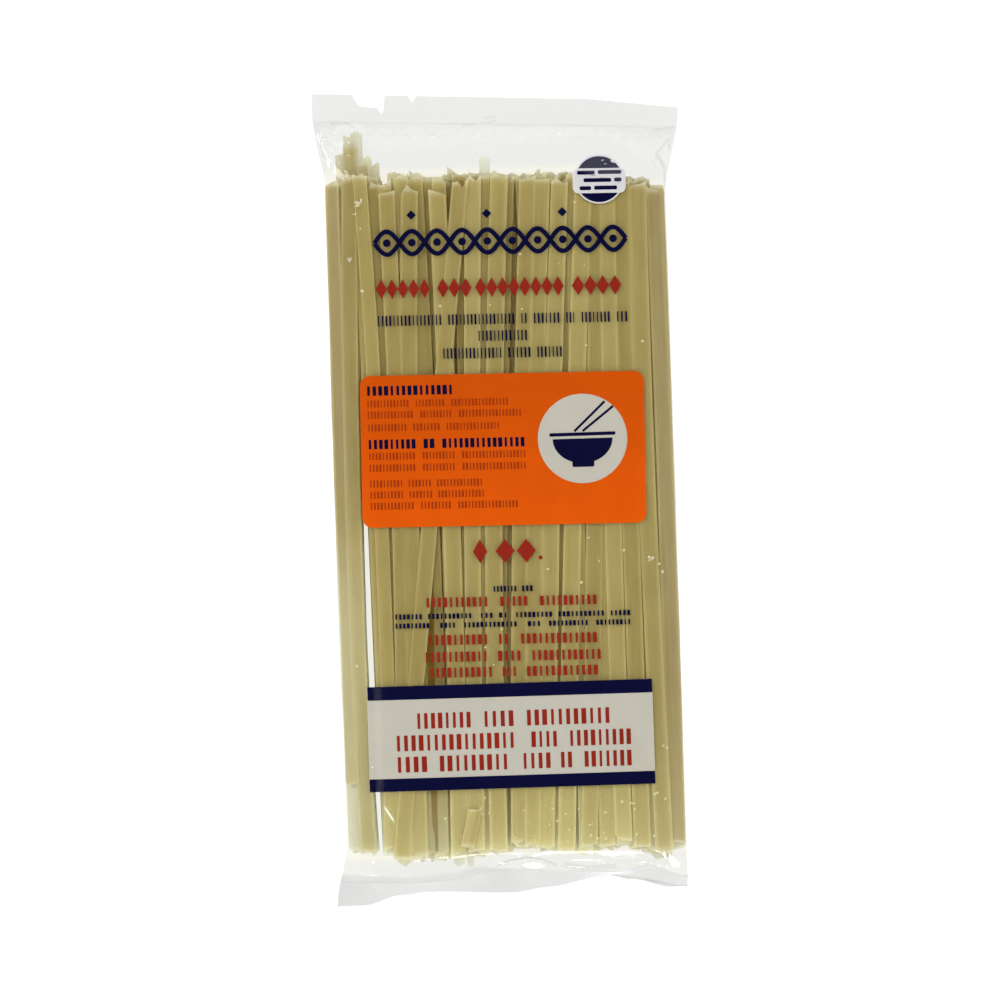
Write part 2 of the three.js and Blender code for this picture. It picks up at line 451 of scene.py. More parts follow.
def filmWeld(x, y):
    # 1 on the fins, from the seal lines outwards; at the lower left it starts a little earlier
    early = 1 + filmBag["earlyWeld"] * ease(-x, 5, 20)
    outside = through(form["bottomSeal"], x) - y
    return np.maximum(ease(y - topSealLine(x), -1, 0.5), ease(outside, -early, 1.5 - early))


def filmHaze(x, y):
    # how milky the film is: thin broken lines along the seals, a little all over the welds, and
    # painted crease shade
    fromSeal, fromFootSeal = y - topSealLine(x), y - through(form["bottomSeal"], x)
    firstWidth, secondWidth, footWidth = filmBag["sealLines"]
    (below, strength), (short, long) = filmBag["secondLine"], filmBag["dashes"]
    dashes = 0.5 + 0.5 * np.sin(x / short + 1.2) * np.sin(x / long)
    upperLine = np.exp(-(fromSeal / firstWidth) ** 2) * (0.15 + 0.85 * dashes)
    secondLine = np.exp(-((fromSeal + below) / secondWidth) ** 2) * strength
    footLine = np.exp(-(fromFootSeal / footWidth) ** 2)
    atHead, atFoot = filmBag["sealHaze"]
    milky = atHead * (upperLine + secondLine) + atFoot * footLine
    milky = milky + filmBag["weldHaze"] * filmWeld(x, y)
    for halfWidth, strength, points in creasing["creases"]:
        milky = np.maximum(milky, strength * nearLine(x, y, halfWidth, points))
    return np.clip(milky, 0, filmBag["mostHaze"])


def buildFilmBag():
    # A grid over the outline, made twice. One way runs across from side fold to side fold, the
    # other from the bottom edge through the bundle to the top edge. The films share their rim.
    spread = np.linspace(-1, 1, filmBag["columns"])
    share = blendTo(spread, np.sin(spread * np.pi / 2), filmBag["drawnOut"])
    line = [np.zeros(1)]
    for stretch, rows in enumerate(filmBag["rows"]):
        line.append(stretch + np.arange(1, rows + 1) / rows)
    line = np.concatenate(line)
    share, line = np.meshgrid(share, line)
    flatX = share * form["sealedHalfWidth"]
    bounds = np.stack([
        through(form["bottomTrim"], flatX), through(form["bottomSeal"], flatX),
        np.full_like(flatX, form["bundleBottom"]), bundleTopEnd(flatX),
        topSealLine(flatX), topEdge(flatX)])
    below = np.minimum(line.astype(int), len(filmBag["rows"]) - 1)
    low = np.take_along_axis(bounds, below[None], 0)[0]
    high = np.take_along_axis(bounds, below[None] + 1, 0)[0]
    y = blendTo(low, high, line - below)
    x = blendTo(leftEdge(y), rightEdge(y), (share + 1) / 2)
    rows, columns = x.shape
    rim = np.ones((rows, columns), bool)
    rim[1:-1, 1:-1] = False
    upper, lower = filmTop(x, y), filmUnder(x, y)
    close = np.maximum(filmBag["weldGap"] - (upper - lower), 0) / 2
    upper, lower = upper + close, lower - close
    middle = (upper + lower) / 2
    upper = np.where(rim, middle, upper)
    top = np.stack([x, y, upper], -1).reshape(-1, 3)
    inner = ~rim.ravel()
    bottom = np.stack([x, y, lower], -1).reshape(-1, 3)[inner]
    number = np.arange(rows * columns)
    number[inner] = rows * columns + np.arange(inner.sum())
    faces = gridFaces(rows, columns)
    points = np.concatenate([top, bottom])
    faces = np.concatenate([faces, number[faces][:, ::-1]])
    x, y, _ = points.T
    weld = filmWeld(x, y)
    slack = (1 - ease(filmApart(x, y), 0.8, 1)) * np.where(y < 0, *filmBag["slack"])
    fields = (filmHaze(x, y), weld, slack, np.where(y < 0, weld, 0))
    return makePiece("film_bag", points, faces, castFilm(),
                     dict(zip(filmFields, fields)))


filmFolds = {
    # small folds in the front, which mirror the key lamp: x, y and length
    "places": [(-53.8, 114.0, 4.4), (-55.3, 109.7, 1.6), (-57.8, 92.4, 2.4), (-53.4, 79.9, 2.2),
               (54.3, -26.2, 3.0), (34.3, -26.7, 1.4), (-59.6, 137.0, 1.8), (-60.8, 129.5, 1.4)],
    "section": [(-1.2, 0.0), (-0.1, 0.42), (0.1, 0.06), (1.1, 0.44), (1.3, 0.0)],
    "heading": -39,         # degrees from x; the way the folds rise, away from the key lamp
    "wholeFrom": 3.2,       # a fold this long has the whole section, a shorter one a smaller
    "stations": 7,
    "above": 0.02,          # the film
}


def buildFolds():
    # A saw-tooth section carried along a short line square to its heading, and drawn in to
    # nothing at both ends: its width and height shrink together, so its faces keep their slope.
    heading = math.radians(filmFolds["heading"])
    across = np.array([math.cos(heading), math.sin(heading)])
    along = np.array([-across[1], across[0]])
    section = np.array(filmFolds["section"])
    stations = np.linspace(-1, 1, filmFolds["stations"])
    taper = np.sqrt(1.0001 - stations ** 2)[:, None]
    points, faces = [], []
    for number, (x, y, length) in enumerate(filmFolds["places"]):
        size = taper * min(length / filmFolds["wholeFrom"], 1)
        flat = np.array([x, y]) + (size * section[:, 0])[..., None] * across
        flat = flat + (stations * length / 2)[:, None, None] * along
        base = filmTop(flat[..., 0], flat[..., 1]).max() + filmFolds["above"]
        z = base + size * section[:, 1]
        points.append(np.concatenate([flat, z[..., None]], -1).reshape(-1, 3))
        first = number * len(stations) * len(section)
        faces.append(gridFaces(len(stations), len(section))[:, ::-1] + first)
    points, faces = np.concatenate(points), np.concatenate(faces)
    makePiece("film_folds", points, faces, filmPiece.data.materials[0],
              {field: np.zeros(len(points)) for field in filmFields}, flat=True)


filmPiece = buildFilmBag()
buildFolds()
print("film bag made", len(filmPiece.data.polygons), "faces")


sticks = {
    "width": 5.5,
    "widthSpread": 0.3,
    "thickness": 1.05,
    "thicknessSpread": (0.9, 1.1),
    "layers": 14,
    "layerSpread": 0.008,   # how far a stick lies off its layer, as a share of the height
    "filmGap": 1.35,        # from the film's form down to the middle of the top sticks
    "floorGap": 0.65,       # and up to that of the lowest
    "raggedEnd": 0.95,
    "endReach": 12,         # the higher, the nearer to its end a stick is broken
    "slant": 0.18,          # of an end
    "looseEnd": 1.3,        # how far an end may lie back from the outline
    "room": 0.55,           # from a stick's middle to the film
    # where the sticks end: x and y
    "topOutline": [(-66, 118.5), (-61, 122.0), (-52, 124.5), (-45.6, 123.5), (-43, 120.6),
                   (-37.3, 123.9), (-30, 122.9), (-24, 122.7), (-12, 123.6), (1.2, 123.0),
                   (12.7, 122.3), (27, 122.6), (39.6, 119.6), (49.2, 120.3), (56.9, 120.1),
                   (60.7, 117.2), (64.1, 115.2)],
    "footOutline": [(-64.9, -132.9), (-62.7, -134.9), (-60, -136.9), (-54.9, -134.4),
                    (-51.5, -136.0), (-46, -139.3), (-40.1, -140.3), (-36.1, -136.2),
                    (-33, -139.2), (-26.6, -139.2), (-20, -138.2), (-15, -138.8),
                    (-9.2, -137.4), (2.4, -135.5), (15.8, -137.5), (27.4, -138.6),
                    (39, -136.3), (48.5, -138.5), (54, -140.9), (60.1, -138.1), (63.3, -136.3)],
    "bow": 0.35,
    "bowReach": (25, 60),   # wave length / 2 pi
    "twist": 0.03,          # radians from the middle to either end
    "lean": 0.85,           # how much of the films' slope sideways a stick takes up
    "unevenTilt": (0.008, 0.03),    # radians, in the top layer and below it
    "segments": 9,
    "pitch": 5.55,
    "placeSpread": (0.3, 0.25),     # of a whole stick sideways, and at each height on its own
    "besideGap": 0.3,       # how much of that the sticks at the sides of a group keep
    "seed": 4,
    # the top layer: wider and lower by so many mm, foot's spread, share of the bow, and its
    # tone's share and what is added to it
    "topWider": 0.85,
    "topLower": 0.18,
    "topFoot": 2.0,
    "topBow": 0.4,
    "topTone": (0.6, 0.25),
    "deepBelow": 0.9,       # share of the height below which a stick counts as deep
    "deepPaintedSideShade": 0.4,        # how much of the painted shade at the sides the deep ones keep
    # painted light: the deep sticks between two x are lighter and paler, as if the light up the
    # slit reached them: added tone and paleness
    "slit": ((-60, -48), 0.6, 0.5),
    "tone": (-0.04, 0.71),
    # painted shade, darker towards both sides of the pack, where light comes in at the sides: x and
    # what is added to the tone
    "paintedSideShade": [(-56, -0.5), (-53, -0.1), (-48, -0.1), (44, 0), (54, -0.3), (64, -0.35)],
    # painted light: how much paler the sticks are at the foot, where more light gets in: in the
    # top layer, below it, and added in the group left of the slit, which ends at leftGroup
    "paintedFootPale": (0.4, 0.75, 0.1),
    "leftGroup": -54,
    "paleFrom": (-8, 85),           # how far below the middle this starts, left and elsewhere
    "paleOver": 45,                 # and over how many mm it grows
    # the painted lighter tone there, across the pack
    "paintedFootTone": [(-56, 0.25), (-53, 0.46), (44, 0.46), (56, 0.2)],
    "paintedEndHighlight": (0.2, 2.2, 0.7),     # painted highlight, pale broken ends: from, to (mm from the end), amount
    "heights": (-120, -30, 100),    # where the tables below give x
    # the sides of the groups that the sticks lie in: a slit runs the whole depth between the
    # first and the rest, and near the top the rest is split by three more gaps
    "groups": [((-64.8, -66.0, -66.0), (-55.2, -56.7, -53.2)),
               ((-52.2, -53.3, -56.2), (64.4, 64.4, 64.0))],
    "upperGroups": [((-64.8, -66.0, -66.0), (-55.2, -56.7, -53.2)),
                    ((-52.2, -53.3, -56.2), (-27.0, -26.4, -28.1)),
                    ((-25.8, -25.2, -26.9), (-3.9, -0.9, 6.6)),
                    ((-2.8, 0.3, 7.8), (36.9, 36.0, 36.1)),
                    ((37.6, 36.7, 36.8), (64.4, 64.4, 64.0))],
    "upperFrom": 12,        # the first layer that is split so
    "shortLeftEnd": -109.4,
    # inside, out of sight, the layers between these two are real only round the core
    "coreLayers": (2, 9),
    "coreSpan": (-45.6, 57.8, -112, 97),
    "coreMargin": 2.6,      # a stick counts as inner if its middle is this far inside
    "coreOverlap": 1.5,     # how far the short ends reach into the core
    # sticks of the top layer: x at the three heights, width, top end, rise above the layer, tone
    "topLayer": [
        ((-63.2, -63.4, -63.6), 5.0, 121.5, 0.0, 0.0),
        ((-58.2, -59.6, -57.6), 5.6, 123.5, 0.1, 0.0),
        ((-48.6, -48.5, -51.8), 4.6, 124.0, 0.0, 0.15),
        ((-43.4, -41.7, -42.4), 5.6, 117.6, 0.0, 0.0),
        ((-38.2, -37.8, -34.6), 5.8, 118.3, 0.0, 0.0),
        ((-43.1, -32.5, -16.8), 5.4, 120.4, 0.36, 0.0),
        ((-32.4, -31.0, -29.0), 2.5, -20.0, -1.0, -1.6),
        ((-22.4, -21.8, -22.9), 6.0, 117.0, 0.0, 0.0),
        ((-15.9, -14.2, -10.2), 5.5, 122.0, 0.0, 0.0),
        ((-7.6, -6.1, -0.6), 6.0, 122.6, 0.1, 0.0),
        ((0.7, 3.8, 10.3), 5.4, 121.4, 0.0, 0.0),
        ((5.9, 9.3, 16.0), 5.3, 120.6, 0.05, 0.0),
        ((11.3, 15.5, 22.6), 5.8, 119.8, 0.0, 0.0),
        ((19.2, 23.8, 31.8), 6.0, 119.2, 0.1, 0.0),
        ((27.9, 32.4, 37.4), 5.6, 117.5, 0.0, 0.0),
        ((34.2, 34.4, 34.0), 5.2, 116.5, -0.5, 0.0),
        ((40.4, 40.3, 41.6), 5.8, 118.4, 0.0, 0.0),
        ((47.6, 46.9, 47.4), 5.8, 118.6, 0.1, 0.0),
        ((55.6, 54.0, 53.6), 6.2, 117.6, 0.0, 0.0),
        ((61.1, 60.9, 60.3), 5.8, 115.0, 0.0, 0.0),
    ],
    "standOutLength": 38,
    "standOutTone": (0, 0.6),
    # sticks that stand out at an end: layer, x there, width, end, paleness, slant of the end;
    # the paleness is painted light let through where few sticks lie behind
    "standOuts": [
        (6, -60.2, 3.8, 132.8, 0.65, 0.2), (6, -56.5, 4.8, 140.2, 0.75, 0.12),
        (7, -53.7, 4.6, 140.9, 0.8, -0.15), (8, -56.6, 4.8, 136.4, 0.1, 0.1),
        (5, -56.4, 5.6, 133.5, 0.0, -0.1),
        (8, -49.8, 3.6, 131.2, 0.6, -0.15), (7, -47.0, 3.6, 128.5, 0.7, 0.1),
        (9, -51.8, 4.0, 129.0, 0.4, 0.3), (11, -39.8, 4.8, 124.8, 0.6, 0.0),
        (10, -16.8, 4.6, 124.4, 0.5, -1.2), (7, -4.7, 4.2, 130.0, 0.95, 0.05),
        (9, 15.3, 3.0, 123.8, 0.5, 1.2), (10, 26.2, 3.4, 123.2, 0.1, 0.0),
        (9, -32.4, 5.4, 123.6, 0.2, 0.3), (7, -23.2, 4.6, -141.8, 0.85, 0.0),
        (6, -18.6, 2.6, -142.6, 0.95, 0.4), (7, -43.0, 5.6, -140.6, 0.1, 0.2),
        (7, 54.2, 5.6, -141.4, 0.2, -0.1), (8, -30.0, 5.4, -139.6, 0.1, 0.1),
        (8, 61.6, 4.6, -138.6, 0.3, 0.0),
    ],
}


noodle = {
    "bodyDark": "#8c702a",
    "bodyLight": "#efe4a2",
    "pale": "#f9fcf0",
    "glowDark": "#d6ca90",
    "glowLight": "#fbf8ea",
    "glowPale": "#fdfffd",
    # painted shade: the darker brown of the core, deep in the stack
    "depth": "#b48f4a",
    "chalk": "#fffbe8",
    "letThrough": 0.62,     # share of the light that a stick lets through
    "paintedEdgeLight": (2.0, 2.6, 0.3),   # painted highlight on the cut edges: mm from the middle, amount
    "toneRange": (-0.4, 1.6),       # the tones at which a stick is darkest and lightest
    "streakShare": 0.5,
    "cloudShare": 0.4,
    "satin": 0.42,                  # roughness
    "streakHeight": 0.2,            # mm
    "palestPower": 2.5,             # only a very pale stick's body turns pale
    # patterns on a stick, as cells per mm across and along it
    "streaks": (0.9, 0.02),     # 1.1 mm wide and 50 mm long, from the rollers
    "clouds": (0.25, 0.07),     # 4 mm by 14 mm
    "specks": (0.35, 0.35),     # flour specks about 3 mm apart
    "speckEdge": (0.05, 0.12, 0.45),    # in cells: from, to, amount
}


def driedNoodle():
    # Dried rice noodle: a steamed starch sheet, cut and dried. It is satin and lets light
    # through, so a single stick is pale, and a stack is deep straw yellow and brown in its gaps.
    material, tree = newMaterial("dried rice noodle")
    place, reach, tone, pale = [
        addNode(tree, "ShaderNodeAttribute", {"attribute_name": field}).outputs[output]
        for field, output in (("stickPlace", "Vector"), ("stickReach", "Vector"),
                              ("tone", "Fac"), ("pale", "Fac"))]
    streakPlace, cloudPlace, speckPlace = [
        addNode(tree, "ShaderNodeVectorMath", {"operation": "MULTIPLY"}, {
            0: place, 1: (*noodle[pattern], 1)}).outputs[0]
        for pattern in ("streaks", "clouds", "specks")]
    streak = addNode(tree, "ShaderNodeTexNoise", links={
        "Vector": streakPlace, "Scale": 1, "Detail": 3, "Roughness": 0.6})
    cloud = addNode(tree, "ShaderNodeTexNoise", links={
        "Vector": cloudPlace, "Scale": 1, "Detail": 2})
    mixed = addNode(tree, "ShaderNodeMath", {"operation": "MULTIPLY_ADD"}, {
        0: streak.outputs["Fac"], 1: noodle["streakShare"], 2: tone})
    # painted highlight: the cut edges of a strip are lighter, as if they gathered light
    sideways = addNode(tree, "ShaderNodeSeparateXYZ", links={0: place}).outputs[0]
    fromMiddle = addNode(tree, "ShaderNodeMath", {"operation": "ABSOLUTE"}, {0: sideways})
    edgeFrom, edgeTo, paintedEdgeLight = noodle["paintedEdgeLight"]
    edge = addNode(tree, "ShaderNodeMapRange", links={
        0: fromMiddle.outputs[0], 1: edgeFrom, 2: edgeTo, 3: 0.0, 4: paintedEdgeLight})
    edged = addNode(tree, "ShaderNodeMath", {"operation": "ADD"}, {
        0: mixed.outputs[0], 1: edge.outputs[0]})
    level = addNode(tree, "ShaderNodeMath", {"operation": "MULTIPLY_ADD"}, {
        0: cloud.outputs["Fac"], 1: noodle["cloudShare"], 2: edged.outputs[0]})
    darkest, lightest = noodle["toneRange"]
    shade = addNode(tree, "ShaderNodeMapRange", links={
        0: level.outputs[0], 1: darkest, 2: lightest, 3: 0.0, 4: 1.0})
    # painted highlight: pale within a few millimetres of either end, as if the broken ends caught
    # light
    reach = addNode(tree, "ShaderNodeSeparateXYZ", links={0: reach})
    nearest = addNode(tree, "ShaderNodeMath", {"operation": "MINIMUM"}, {
        0: reach.outputs[0], 1: reach.outputs[1]})
    start, end, amount = sticks["paintedEndHighlight"]
    paintedEndShare = addNode(tree, "ShaderNodeMapRange", links={
        0: nearest.outputs[0], 1: start, 2: end, 3: amount, 4: 0.0})
    pale = addNode(tree, "ShaderNodeMath", {"operation": "MAXIMUM"}, {
        0: pale, 1: paintedEndShare.outputs[0]}).outputs[0]
    palest = addNode(tree, "ShaderNodeMath", {"operation": "POWER"}, {
        0: pale, 1: noodle["palestPower"]})
    # what the body scatters and what it lets through: dark to light, and then to pale
    colours = []
    for dark, light, palestColour, share in (
            ("bodyDark", "bodyLight", "pale", palest.outputs[0]),
            ("glowDark", "glowLight", "glowPale", pale)):
        plain = addNode(tree, "ShaderNodeMix", {"data_type": "RGBA"}, {
            0: shade.outputs[0], 6: colour(noodle[dark]), 7: colour(noodle[light])})
        colours.append(addNode(tree, "ShaderNodeMix", {"data_type": "RGBA"}, {
            0: share, 6: plain.outputs[2], 7: colour(noodle[palestColour])}).outputs[2])
    speck = addNode(tree, "ShaderNodeTexVoronoi", links={"Vector": speckPlace, "Scale": 1})
    start, end, amount = noodle["speckEdge"]
    dot = addNode(tree, "ShaderNodeMapRange", links={
        0: speck.outputs["Distance"], 1: start, 2: end, 3: amount, 4: 0.0})
    chalk = addNode(tree, "ShaderNodeMix", {"data_type": "RGBA"}, {
        0: dot.outputs[0], 6: colours[0], 7: colour(noodle["chalk"])})
    bump = addNode(tree, "ShaderNodeBump", links={
        "Height": streak.outputs["Fac"], "Strength": 0.4,
        "Distance": noodle["streakHeight"] * mm})
    surface = addNode(tree, "ShaderNodeBsdfPrincipled", links={
        "Base Color": chalk.outputs[2], "Roughness": noodle["satin"], "IOR": 1.5,
        "Specular IOR Level": 0.3, "Normal": bump.outputs[0]})
    glow = addNode(tree, "ShaderNodeBsdfTranslucent", links={"Color": colours[1]})
    whole = addNode(tree, "ShaderNodeMixShader", links={
        0: noodle["letThrough"], 1: surface.outputs[0], 2: glow.outputs[0]})
    addNode(tree, "ShaderNodeOutputMaterial", links={"Surface": whole.outputs[0]})
    return material


noodleMaterial = driedNoodle()

# the section of a cut strip: across and up, as shares of half the width and half the thickness
stripSection = np.array([(-1, 0), (-0.95, -0.85), (-0.35, -1), (0.35, -1), (0.95, -0.85),
                         (1, 0), (0.95, 0.85), (0.35, 1), (-0.35, 1), (-0.95, 0.85)])


def makeSticks(name, lay, material):
    # A strip carried along a gently bowed line. Along: the line runs from the lower end to the
    # upper end; its x is a curve of the second degree through three given places, plus a small
    # wave. Round: the section's points, turned by the stick's tilt. At both ends each point is
    # moved along by its own small amount, so the ends are broken, not cut.
    # Every array is sticks x rings x section.
    count = len(lay["low"])
    rings, corners = sticks["segments"] + 1, len(stripSection)
    share = np.linspace(0, 1, rings)[None, :, None]
    wide, thick = stripSection.T[:, None, None, :]

    def pick(key):
        return lay[key][:, None, None]

    nearTop, nearFoot = share ** sticks["endReach"], (1 - share) ** sticks["endReach"]
    offTop = pick("slantTop") * wide * 0.5 * pick("width") + lay["ragTop"][:, None, :]
    offFoot = pick("slantFoot") * wide * 0.5 * pick("width") + lay["ragFoot"][:, None, :]
    y = blendTo(pick("low"), pick("high"), share) + offTop * nearTop + offFoot * nearFoot
    curve = lay["curve"][:, :, None, None]
    wave = pick("bow") * np.sin(y / pick("reach") + pick("phase"))
    tilt = pick("tilt") + pick("twist") * (y / 130)     # 130 mm is half a stick
    sideways = 0.5 * pick("width") * wide
    upwards = 0.5 * pick("thickness") * thick
    x = curve[:, 0] + curve[:, 1] * y + curve[:, 2] * y ** 2 + wave
    x = x + sideways * np.cos(tilt) - upwards * np.sin(tilt)
    z = pick("z") + pick("rise") * y + 0.3 * wave + sideways * np.sin(tilt) + upwards * np.cos(tilt)
    points = np.stack(np.broadcast_arrays(x, y, z), -1)
    start = (np.arange(count) * rings * corners)[:, None, None]
    faces = (gridFaces(rings, corners, closedRows=True)[None] + start).reshape(-1, 4)
    circle = np.arange(corners)[None]
    ends = np.concatenate([start[:, 0] + circle[:, ::-1],
                           start[:, 0] + (rings - 1) * corners + circle])
    number = 7.3 * np.arange(count)[:, None, None]      # so that no two have the same pattern
    place = np.stack(np.broadcast_arrays(sideways, y, number), -1)
    atFoot = ease(-y, pick("paleBelow"), pick("paleBelow") + sticks["paleOver"])
    pale = pick("pale") + pick("paintedFootPale") * atFoot
    tone = pick("tone") + pick("paintedFootTone") * atFoot
    reach = np.stack(np.broadcast_arrays(y - pick("low"), pick("high") - y, 0 * x), -1)
    attributes = {"stickPlace": place.reshape(-1, 3), "stickReach": reach.reshape(-1, 3),
                  "tone": np.broadcast_to(tone, x.shape).ravel(),
                  "pale": np.minimum(np.broadcast_to(pale, x.shape), 1).ravel()}
    return makePiece(name, points.reshape(-1, 3), faces, material,
                     attributes, ends, flat=True)


def layRow(rng, places, fraction, low, high, **own):
    # the lay of one row of sticks: each follows the films' curve at its own share of the height
    count = len(places)
    heights = np.array(sticks["heights"], float)
    curve = np.linalg.solve(np.stack([heights ** 0, heights, heights ** 2], 1), places.T).T
    x = curve[:, 0]
    fraction = np.clip(fraction + rng.normal(0, sticks["layerSpread"], count), 0.0, 1.0)
    deep = fraction <= sticks["deepBelow"]
    (slitFrom, slitTo), paintedSlitTone, paintedSlitPale = sticks["slit"]
    bySlit = deep & (x > slitFrom) & (x < slitTo)
    inLeftGroup = x < sticks["leftGroup"]

    def filmAt(at):
        return upperForm(at, 0) - sticks["filmGap"], lowerForm(at, 0) + sticks["floorGap"]

    top, under = filmAt(x)
    (topRight, underRight), (topLeft, underLeft) = filmAt(x + 1.5), filmAt(x - 1.5)
    incline = blendTo(underRight - underLeft, topRight - topLeft, fraction) / 3
    unevenTilt = sticks["unevenTilt"][int(np.mean(fraction) < 0.95)]
    topPale, deepPale, leftPale = sticks["paintedFootPale"]
    lay = {
        "curve": curve, "z": blendTo(under, top, fraction), "low": low, "high": high,
        "width": sticks["width"] + rng.normal(0, sticks["widthSpread"], count),
        "thickness": sticks["thickness"] * rng.uniform(*sticks["thicknessSpread"], count),
        "bow": rng.normal(0, sticks["bow"], count),
        "reach": rng.uniform(*sticks["bowReach"], count),
        "phase": rng.uniform(0, 2 * np.pi, count),
        "tilt": sticks["lean"] * np.arctan(incline) + rng.normal(0, unevenTilt, count),
        "twist": rng.normal(0, sticks["twist"], count),
        "rise": fraction * (filmAt(places[:, 2])[0] - filmAt(places[:, 0])[0])
                / (heights[2] - heights[0]),
        "slantTop": rng.normal(0, sticks["slant"], count),
        "slantFoot": rng.normal(0, sticks["slant"], count),
        "ragTop": endRags(rng, count),
        "ragFoot": endRags(rng, count),
        "tone": rng.uniform(*sticks["tone"], count)
                + through(sticks["paintedSideShade"], x) * np.where(deep, sticks["deepPaintedSideShade"], 1)
                + paintedSlitTone * bySlit,
        "pale": paintedSlitPale * bySlit,
        "paintedFootPale": np.where(fraction > 0.97, topPale, deepPale)
                    + np.where(inLeftGroup, leftPale, 0),
        "paintedFootTone": through(sticks["paintedFootTone"], x),
        "paleBelow": np.where(inLeftGroup, *sticks["paleFrom"]),
    }
    lay.update(own)
    return lay


def endRags(rng, count):
    # the same offset for the points above each other on the section's two faces
    rag = rng.normal(0, sticks["raggedEnd"], (count, 4))
    middle = rag.mean(1, keepdims=True)
    return np.concatenate([rag[:, :1], rag, rag[:, 3:], rag[:, ::-1]], 1) - middle


def joinLays(lays):
    # several rows as one
    return {key: np.concatenate([lay[key] for lay in lays]) for key in lays[0]}


def fitEnds(lay):
    # no stick reaches further than where the films leave room for it
    reach = np.arange(0, 150, 0.5)[None, :]
    for key, sign in (("high", 1), ("low", -1)):
        y = sign * reach
        x = lay["curve"][:, :1] + lay["curve"][:, 1:2] * y + lay["curve"][:, 2:] * y ** 2
        z = lay["z"][:, None] + lay["rise"][:, None] * y
        room = np.minimum(upperForm(x, y) - z, z - lowerForm(x, y))
        inside = np.minimum.accumulate(room > sticks["room"], axis=1).sum(1) * 0.5
        lay[key] = sign * np.minimum(sign * lay[key], inside)
    return lay


def buildSticks():
    # Layer by layer from the floor up, evenly spaced in each group and moved a little at random;
    # then the top layer and the sticks that stand out.
    rng = np.random.default_rng(sticks["seed"])
    lays = []
    last = sticks["layers"] - 1
    for layer in range(last):
        groups = sticks["upperGroups" if layer >= sticks["upperFrom"] else "groups"]
        for leftSides, rightSides in groups:
            leftSides, rightSides = np.array(leftSides), np.array(rightSides)
            room = (rightSides - leftSides)[1]
            count = max(round(room / sticks["pitch"]), 1)
            middle = (np.arange(count) + 0.5)[:, None] / count
            whole, each = sticks["placeSpread"]
            shift = rng.normal(0, whole, (count, 1)) + rng.normal(0, each, (count, 3))
            shift[[0, -1]] *= sticks["besideGap"]
            places = blendTo(leftSides, rightSides, middle) + shift
            back = np.abs(rng.normal(0, sticks["looseEnd"], (2, count)))
            high = through(sticks["topOutline"], places[:, 2]) - back[0]
            low = through(sticks["footOutline"], places[:, 0]) + back[1]
            lays.append(layRow(rng, places, layer / last, low, high, layer=np.full(count, layer)))
    places = np.array([row[0] for row in sticks["topLayer"]], float)
    width, high, lift, tone = np.array([row[1:] for row in sticks["topLayer"]], float).T
    back = np.abs(rng.normal(0, sticks["topFoot"], len(places)))
    low = through(sticks["footOutline"], places[:, 0]) + back
    low[0] = sticks["shortLeftEnd"]
    top = layRow(rng, places, 1, low, high, width=width, layer=np.full(len(places), last))
    share, added = sticks["topTone"]
    top["z"] = top["z"] + lift - sticks["topLower"]
    top["bow"], top["twist"] = top["bow"] * sticks["topBow"], top["twist"] * 0
    top["width"] = top["width"] + sticks["topWider"]
    top["tone"] = top["tone"] * share + added + tone
    lays.append(top)
    lays.append(layStandOuts(rng))
    bundle = fitEnds(joinLays(lays))
    return makeSticks("rice_sticks", roundTheCore(bundle), noodleMaterial)


def layStandOuts(rng):
    # sticks that stand out at an end; their other end is lost among the rest
    layer, x, width, end, paintedPaleness, slant = np.array(sticks["standOuts"], float).T
    length = sticks["standOutLength"]
    low = np.where(end > 0, end - length, end)
    high = np.where(end > 0, end, end + length)
    none = np.zeros(len(x))
    return layRow(rng, np.stack([x] * 3, 1), layer / (sticks["layers"] - 1), low, high, width=width,
                  layer=none, pale=paintedPaleness, slantTop=slant, slantFoot=slant, twist=none,
                  bow=none, tone=rng.uniform(*sticks["standOutTone"], len(x)))


def roundTheCore(bundle):
    # each inner stick over the core is left as two short ends, one on each side of it
    first, last = sticks["coreLayers"]
    left, right, low, high = sticks["coreSpan"]
    inner = (bundle["layer"] >= first) & (bundle["layer"] <= last)
    margin, overlap = sticks["coreMargin"], sticks["coreOverlap"]
    inner &= (bundle["curve"][:, 0] > left + margin) & (bundle["curve"][:, 0] < right - margin)
    upper = {key: values[inner].copy() for key, values in bundle.items()}
    lower = {key: values[inner].copy() for key, values in bundle.items()}
    upper["low"][:], lower["high"][:] = high - overlap, low + overlap
    return joinLays([{key: values[~inner] for key, values in bundle.items()}, upper, lower])


def buildCore():
    # one closed block with the same section as a stick, but as wide as the inner layers
    left, right, low, high = sticks["coreSpan"]
    first, last = sticks["coreLayers"]
    rng = np.random.default_rng(sticks["seed"])
    middle = (left + right) / 2
    step = (upperForm(0, 0) - sticks["filmGap"] - sticks["floorGap"]) / (sticks["layers"] - 1)
    plain = {key: np.zeros(1) for key in ("bow", "tilt", "twist", "slantTop", "slantFoot")}
    lay = layRow(rng, np.full((1, 3), middle), 0.5, np.array([low]), np.array([high]), **plain,
                 z=np.array([sticks["floorGap"] + step * (first + last) / 2]),
                 width=np.array([right - left]),
                 thickness=np.array([step * (last - first) + sticks["thickness"]]))
    makeSticks("shaded_straw_core", lay, shadedStrawCore())


def shadedStrawCore():
    # The middle of a deep stack of dried noodle: straw darkened to brown as painted shade, seen
    # only down the gaps.
    material, tree = newMaterial("painted shade of deep dried rice noodle")
    surface = addNode(tree, "ShaderNodeBsdfPrincipled", links={
        "Base Color": colour(noodle["depth"]), "Roughness": 0.9, "Specular IOR Level": 0.0})
    addNode(tree, "ShaderNodeOutputMaterial", links={"Surface": surface.outputs[0]})
    return material


stickPiece = buildSticks()
buildCore()
print("sticks laid", len(stickPiece.data.polygons), "faces")


